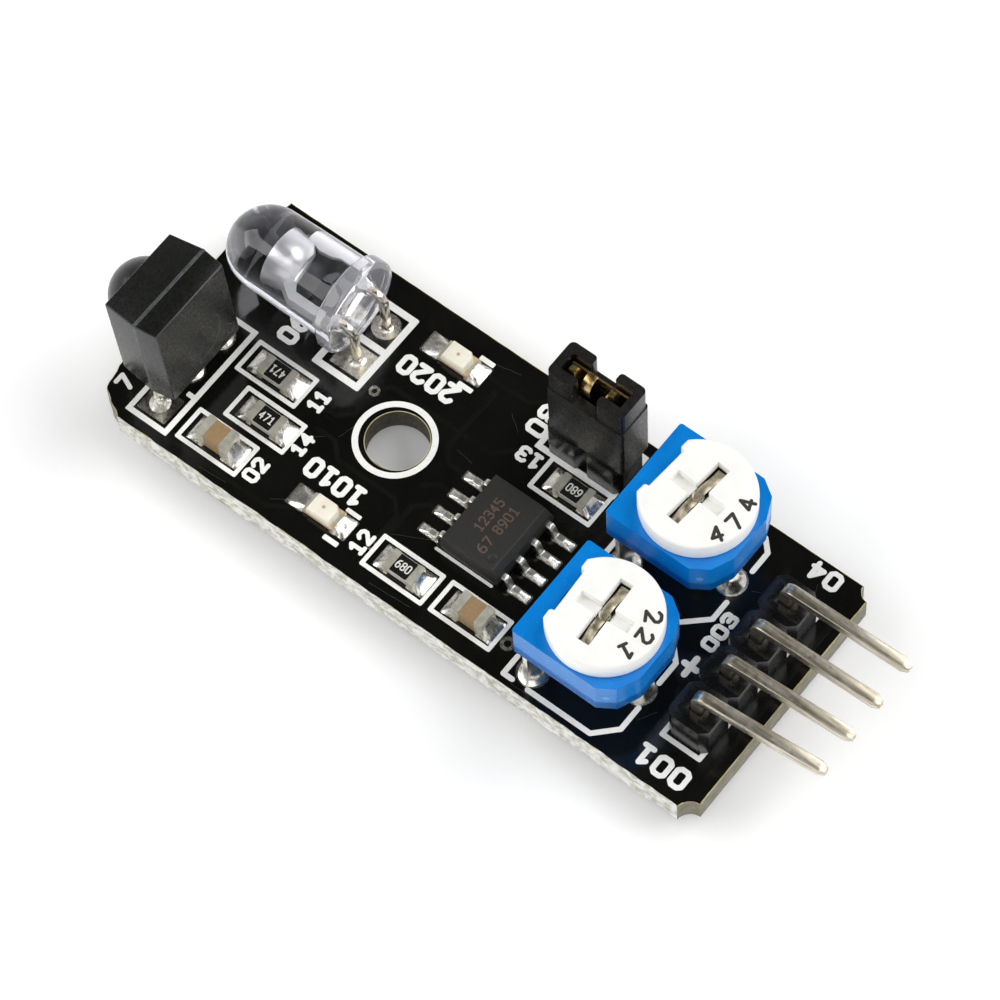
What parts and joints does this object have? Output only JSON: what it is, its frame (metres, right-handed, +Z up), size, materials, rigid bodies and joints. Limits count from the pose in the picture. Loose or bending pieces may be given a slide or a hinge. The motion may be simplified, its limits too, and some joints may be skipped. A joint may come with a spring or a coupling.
{
  "type": "infrared reflective sensor module",
  "caption": "Small circuit board with a clear infrared emitter, a black side-looking receiver, blue trimmers, a removable jumper and a right-angle pin header.",
  "frame": {"origin": "centre of the circuit board's underside", "axes": "+X along the board from the sensors to the header, +Y across the board from the capacitor edge to the emitter edge, +Z up out of the component side"},
  "size_m": [0.0466, 0.016, 0.0116],
  "materials": {
    "board_laminate": "glossy black solder mask over glass laminate",
    "receiver_epoxy": "satin moulded epoxy",
    "tinned_steel": "tin plated",
    "clear_epoxy": "clear polished epoxy",
    "emitter_die": "semiconductor chip",
    "black_nylon": "moulded nylon",
    "brass": "bright stamped strip and pin wire",
    "blue_plastic": "satin moulded",
    "white_plastic": "satin moulded",
    "carbon_track": "matt printed track",
    "chip_epoxy": "matt moulded epoxy",
    "resistor_ceramic": "black glaze with tinned ends",
    "capacitor_ceramic": "sintered ceramic with tinned ends",
    "indicator_base": "cream laminate",
    "indicator_lens": "milky moulded resin"
  },
  "bodies": {
    "board": {"circuit_board": "board_laminate", "ir_receiver_body": "receiver_epoxy", "ir_receiver_lead_1": "tinned_steel", "ir_receiver_lead_2": "tinned_steel", "ir_receiver_lead_3": "tinned_steel", "ir_emitter_lens": "clear_epoxy", "ir_emitter_cathode_lead": "tinned_steel", "ir_emitter_anode_lead": "tinned_steel", "ir_emitter_die": "emitter_die", "jumper_header_base": "black_nylon", "jumper_pin_1": "brass", "jumper_pin_2": "brass", "trimmer_a_housing": "blue_plastic", "trimmer_a_element": "carbon_track", "trimmer_a_leg_1": "tinned_steel", "trimmer_a_leg_2": "tinned_steel", "trimmer_a_leg_3": "tinned_steel", "trimmer_b_housing": "blue_plastic", "trimmer_b_element": "carbon_track", "trimmer_b_leg_1": "tinned_steel", "trimmer_b_leg_2": "tinned_steel", "trimmer_b_leg_3": "tinned_steel", "timer_chip_body": "chip_epoxy", "timer_chip_lead_1": "tinned_steel", "timer_chip_lead_2": "tinned_steel", "timer_chip_lead_3": "tinned_steel", "timer_chip_lead_4": "tinned_steel", "timer_chip_lead_5": "tinned_steel", "timer_chip_lead_6": "tinned_steel", "timer_chip_lead_7": "tinned_steel", "timer_chip_lead_8": "tinned_steel", "resistor_1": "resistor_ceramic", "resistor_2": "resistor_ceramic", "resistor_3": "resistor_ceramic", "resistor_4": "resistor_ceramic", "capacitor_1": "capacitor_ceramic", "capacitor_2": "capacitor_ceramic", "power_led_base": "indicator_base", "power_led_lens": "indicator_lens", "status_led_base": "indicator_base", "status_led_lens": "indicator_lens", "pin_header_housing": "black_nylon", "pin_header_pin_1": "tinned_steel", "pin_header_pin_2": "tinned_steel", "pin_header_pin_3": "tinned_steel", "pin_header_pin_4": "tinned_steel"},
    "trimmer_a_dial": {"trimmer_a_rotor": "white_plastic", "trimmer_a_wiper": "brass"},
    "trimmer_b_dial": {"trimmer_b_rotor": "white_plastic", "trimmer_b_wiper": "brass"},
    "jumper_shunt": {"jumper_cap": "black_nylon", "jumper_contact": "brass"}
  },
  "joints": [
    {"name": "trimmer_a_turn", "type": "hinge", "parent": "board", "child": "trimmer_a_dial", "pos_m": [0.01161, -0.00384, 0.00695], "axis": [0, 0, 1], "range_deg": [-120.5, 114.5]},
    {"name": "trimmer_b_turn", "type": "hinge", "parent": "board", "child": "trimmer_b_dial", "pos_m": [0.01161, 0.00405, 0.0079], "axis": [0, 0, 1], "range_deg": [-113, 122]},
    {"name": "jumper_pull", "type": "slide", "parent": "board", "child": "jumper_shunt", "axis": [0, 0, 1], "range_m": [0, 0.0062]}
  ]
}
